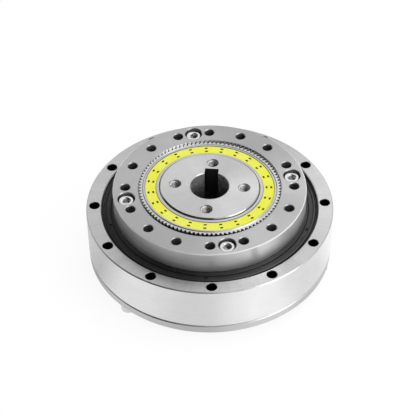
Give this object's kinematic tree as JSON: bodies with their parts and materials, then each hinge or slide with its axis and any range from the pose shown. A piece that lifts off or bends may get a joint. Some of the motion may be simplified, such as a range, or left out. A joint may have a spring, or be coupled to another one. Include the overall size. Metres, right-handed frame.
{
  "type": "strain wave gear unit",
  "caption": "Round strain wave reduction gear with a hat-shaped flexspline, a toothed circular spline as its output, a keyed wave generator and a crossed-roller output bearing.",
  "frame": {"origin": "centre of the ring of housing bolt holes, on the flange face that bolts to a machine", "axes": "+Z along the axis of rotation, from the flange towards the circular spline; +X and +Y pass through housing bolt holes"},
  "size_m": [0.09, 0.09, 0.032],
  "materials": {
    "outer_ring_steel": "ground steel",
    "flexspline_steel": "turned alloy steel",
    "screw_steel": "zinc-plated steel",
    "seal_rubber": "matte nitrile rubber",
    "roller_steel": "polished bearing steel",
    "spline_iron": "fine-turned nodular iron",
    "spacer_plastic": "moulded plastic",
    "plug_steel": "turned steel",
    "race_steel": "ground bearing steel",
    "cage_plastic": "moulded polyamide"
  },
  "bodies": {
    "housing": {"bearing_outer_ring": "outer_ring_steel", "flexspline": "flexspline_steel", "flange_screws": "screw_steel", "output_seal": "seal_rubber", "filling_plug": "outer_ring_steel", "filling_plug_pin": "roller_steel"},
    "wave_generator": {"wave_plug": "plug_steel", "wave_inner_race": "race_steel", "wave_outer_race": "race_steel", "wave_balls": "roller_steel", "wave_cage": "cage_plastic"},
    "output": {"circular_spline": "spline_iron", "output_screws": "screw_steel", "bearing_inner_ring": "outer_ring_steel"},
    "roller_train": {"crossed_rollers_up": "roller_steel", "crossed_rollers_down": "roller_steel", "roller_spacers": "spacer_plastic"}
  },
  "joints": [
    {"name": "input_spin", "type": "hinge", "parent": "housing", "child": "wave_generator", "pos_m": [0, 0, 0.024], "axis": [0, 0, 1], "continuous": true, "deforming": ["flexspline"]},
    {"name": "output_spin", "type": "hinge", "parent": "housing", "child": "output", "pos_m": [0, 0, 0.0102], "axis": [0, 0, 1], "continuous": true},
    {"name": "roller_orbit", "type": "hinge", "parent": "housing", "child": "roller_train", "pos_m": [0, 0, 0.0102], "axis": [0, 0, 1], "continuous": true}
  ],
  "couplings": [
    {"joint": "output_spin", "follows": "input_spin", "ratio": 0.019608},
    {"joint": "roller_orbit", "follows": "input_spin", "ratio": 0.0093087}
  ]
}
